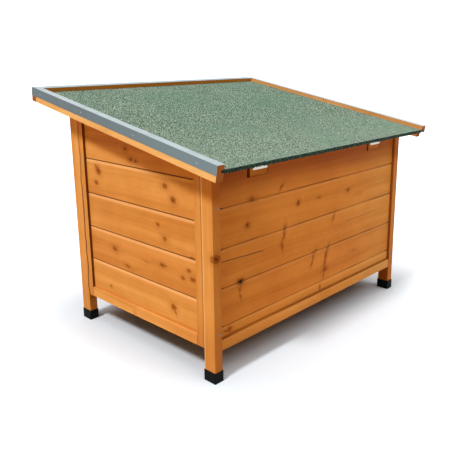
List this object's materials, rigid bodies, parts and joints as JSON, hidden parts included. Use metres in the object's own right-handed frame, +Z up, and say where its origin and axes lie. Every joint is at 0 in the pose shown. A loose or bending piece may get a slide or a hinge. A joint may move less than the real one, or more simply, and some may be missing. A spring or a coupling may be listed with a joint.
{
  "type": "dog kennel",
  "caption": "Raised insulated wooden kennel with tongued board walls, a doorway in the high wall, and a felted lean-to roof hinged along its low edge and held open by slotted stays.",
  "frame": {"origin": "on the ground, under the middle of the outline of the whole kennel", "axes": "+Z up, +X along the long walls, +Y out of the low rear wall, so -Y faces out of the high wall with the doorway"},
  "size_m": [1.106, 0.9011, 0.8204],
  "materials": {
    "stained_pine": "satin",
    "raw_pine": "matte",
    "plywood": "matte",
    "insulation": "matte",
    "felt": "matte",
    "trim": "satin",
    "hinge_steel": "satin",
    "steel": "satin",
    "cap": "matte"
  },
  "bodies": {
    "kennel": {"doorway_head": "stained_pine", "doorway_left_jamb": "stained_pine", "doorway_right_jamb": "stained_pine", "doorway_sill": "stained_pine", "floor_bottom_panel": "plywood", "floor_deck": "plywood", "floor_insulation": "insulation", "floor_ledgers": "raw_pine", "foot_cap_front_left": "cap", "foot_cap_front_right": "cap", "foot_cap_rear_left": "cap", "foot_cap_rear_right": "cap", "front_wall_boards": "stained_pine", "front_wall_bottom_rail": "stained_pine", "front_wall_insulation": "insulation", "front_wall_lining": "plywood", "front_wall_top_rail": "stained_pine", "hinge_packers": "stained_pine", "hinge_pins": "hinge_steel", "hinge_wall_leaves": "hinge_steel", "left_wall_boards": "stained_pine", "left_wall_bottom_rail": "stained_pine", "left_wall_front_stile": "stained_pine", "left_wall_insulation": "insulation", "left_wall_lining": "plywood", "left_wall_rear_stile": "stained_pine", "left_wall_top_rail": "stained_pine", "post_front_left": "stained_pine", "post_front_right": "stained_pine", "post_rear_left": "stained_pine", "post_rear_right": "stained_pine", "post_screws": "steel", "rear_wall_boards": "stained_pine", "rear_wall_bottom_rail": "stained_pine", "rear_wall_insulation": "insulation", "rear_wall_lining": "plywood", "rear_wall_top_rail": "stained_pine", "right_wall_boards": "stained_pine", "right_wall_bottom_rail": "stained_pine", "right_wall_front_stile": "stained_pine", "right_wall_insulation": "insulation", "right_wall_lining": "plywood", "right_wall_rear_stile": "stained_pine", "right_wall_top_rail": "stained_pine", "stay_studs": "steel"},
    "lid": {"roof_battens": "raw_pine", "roof_ceiling": "plywood", "roof_deck": "plywood", "roof_felt": "felt", "roof_insulation": "insulation", "roof_rail_front": "stained_pine", "roof_rail_left": "stained_pine", "roof_rail_right": "stained_pine", "roof_trim_front": "trim", "roof_trim_left": "trim", "roof_trim_right": "trim", "hinge_roof_leaves": "hinge_steel", "stay_pivot_screws": "steel"},
    "stay_left": {"stay_left": "steel"},
    "stay_right": {"stay_right": "steel"}
  },
  "joints": [
    {"name": "roof_hinge", "type": "hinge", "parent": "kennel", "child": "lid", "pos_m": [0, 0.36602, 0.64593], "axis": [-1, 0, 0], "range_deg": [0, 60]},
    {"name": "stay_left_pivot", "type": "hinge", "parent": "lid", "child": "stay_left", "pos_m": [-0.457, 0.19779, 0.67041], "axis": [-1, 0, 0], "range_deg": [-30, 0]},
    {"name": "stay_right_pivot", "type": "hinge", "parent": "lid", "child": "stay_right", "pos_m": [0.457, 0.19779, 0.67041], "axis": [-1, 0, 0], "range_deg": [-30, 0]}
  ],
  "couplings": [
    {"joint": "stay_left_pivot", "follows": "roof_hinge", "ratio": -0.5},
    {"joint": "stay_right_pivot", "follows": "roof_hinge", "ratio": -0.5}
  ]
}
